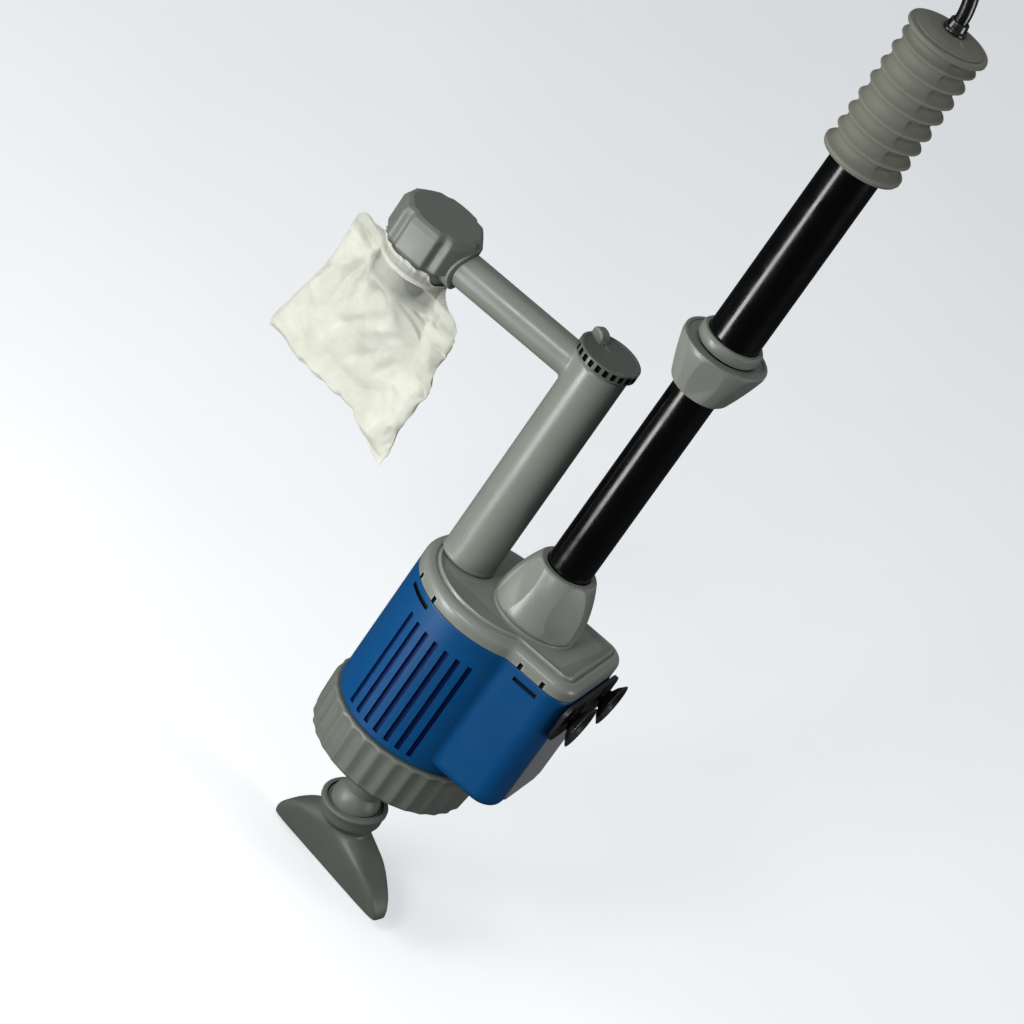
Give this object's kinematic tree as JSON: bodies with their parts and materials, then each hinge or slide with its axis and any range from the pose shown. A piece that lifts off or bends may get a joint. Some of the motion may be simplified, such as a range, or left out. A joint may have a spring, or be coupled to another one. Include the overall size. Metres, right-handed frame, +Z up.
{
  "type": "gravel vacuum siphon",
  "caption": "Electric aquarium gravel cleaner with a swivelling flat nozzle, motor head on suction cups, telescopic handle pole and an outlet arm carrying a filter bag.",
  "frame": {"origin": "centre of the flat hanger plate between the two suction cups, on the plate's outer face", "axes": "+X out of the hanger plate towards the tank wall, +Z up along the pole, +Y completes a right-handed set; the pole, riser and cups lie symmetric about Y = 0"},
  "size_m": [0.2906, 0.107, 0.7074],
  "materials": {
    "grey_plastic": "satin moulded grey",
    "grey_dark": "satin moulded darker grey",
    "blue_housing": "semi-gloss moulded blue",
    "black_tube": "polished black",
    "black_plastic": "satin black",
    "black_rubber": "soft black rubber",
    "grip_rubber": "matte warm grey soft-touch",
    "panel_grey": "matte dark grey",
    "white_plastic": "natural white moulding",
    "steel": "turned stainless steel",
    "stator_iron": "laminated iron",
    "magnet": "sintered ferrite",
    "copper": "enamelled copper winding",
    "board_green": "printed board",
    "bag_cloth": "off-white filter cloth"
  },
  "bodies": {
    "motor_head": {"motor_housing": "blue_housing", "end_panel": "panel_grey", "lid": "grey_plastic", "lid_gasket": "black_rubber", "chamber_seal": "black_rubber", "intake_cover": "grey_dark", "pump_plate": "grey_dark", "lower_bearing": "white_plastic", "upper_bearing": "white_plastic", "rotor_can": "white_plastic", "stator_core": "stator_iron", "stator_coil_lower": "copper", "stator_coil_upper": "copper", "flow_duct": "grey_dark", "circuit_board": "board_green", "cup_bracket": "black_plastic", "suction_cup_left": "black_rubber", "suction_cup_right": "black_rubber", "lower_tube": "black_tube", "pole_collet": "white_plastic", "inner_cord": "black_rubber"},
    "ring": {"lock_ring": "grey_dark"},
    "ball": {"ball_stem": "grey_dark"},
    "seat": {"nozzle_seat_ring": "grey_dark"},
    "nozzle_body": {"nozzle": "grey_dark"},
    "rotor": {"rotor_shaft": "steel", "rotor_magnet": "magnet", "impeller": "white_plastic", "impeller_nut": "steel"},
    "base_nut": {"pole_base_nut": "grey_plastic"},
    "upper_pole": {"upper_tube": "black_tube", "collar_ring": "grey_plastic", "lock_collet": "white_plastic", "grip": "grip_rubber", "end_cap": "grip_rubber", "cord_gland": "black_rubber", "power_cord": "black_rubber", "power_plug": "black_plastic"},
    "telescope_nut": {"lock_nut": "grey_plastic"},
    "outlet": {"discharge_pipe": "grey_plastic", "riser_seal": "black_rubber"},
    "valve": {"flow_knob": "grey_plastic", "valve_core": "white_plastic"},
    "bag": {"bag_head": "grey_plastic", "head_seal": "black_rubber", "bag_clamp_ring": "white_plastic", "filter_bag": "bag_cloth"}
  },
  "joints": [
    {"name": "lock_ring_twist", "type": "hinge", "parent": "motor_head", "child": "ring", "pos_m": [-0.079, 0, -0.09], "axis": [0, 0, 1], "range_deg": [0, 30]},
    {"name": "ball_swivel", "type": "hinge", "parent": "motor_head", "child": "ball", "pos_m": [-0.079, 0, -0.15], "axis": [0, 0, 1], "range_deg": [-180, 180]},
    {"name": "ball_tilt", "type": "hinge", "parent": "ball", "child": "seat", "pos_m": [-0.079, 0, -0.15], "axis": [0.6681, -0.7441, 0], "range_deg": [-34, 10]},
    {"name": "nozzle_spin", "type": "hinge", "parent": "seat", "child": "nozzle_body", "pos_m": [-0.079, 0, -0.15], "axis": [-0.1547, -0.1389, 0.9781], "range_deg": [-180, 180]},
    {"name": "impeller_spin", "type": "hinge", "parent": "motor_head", "child": "rotor", "pos_m": [-0.079, 0, -0.08], "axis": [0, 0, 1], "continuous": true},
    {"name": "base_nut_twist", "type": "hinge", "parent": "motor_head", "child": "base_nut", "pos_m": [-0.0557, 0, 0.04], "axis": [0, 0, 1], "range_deg": [-180, 180]},
    {"name": "pole_extend", "type": "slide", "parent": "motor_head", "child": "upper_pole", "axis": [0, 0, 1], "range_m": [-0.088, 0.1]},
    {"name": "lock_nut_twist", "type": "hinge", "parent": "upper_pole", "child": "telescope_nut", "pos_m": [-0.0557, 0, 0.216], "axis": [0, 0, 1], "range_deg": [-180, 180]},
    {"name": "riser_swivel", "type": "hinge", "parent": "motor_head", "child": "outlet", "pos_m": [-0.1069, 0, 0.03], "axis": [0, 0, 1], "range_deg": [-90, 90]},
    {"name": "flow_knob_turn", "type": "hinge", "parent": "outlet", "child": "valve", "pos_m": [-0.1069, 0, 0.178], "axis": [0, 0, 1], "range_deg": [0, 90]},
    {"name": "bag_head_roll", "type": "hinge", "parent": "outlet", "child": "bag", "pos_m": [-0.2075, 0, 0.1638], "axis": [1, 0, 0], "range_deg": [-30, 30]}
  ]
}
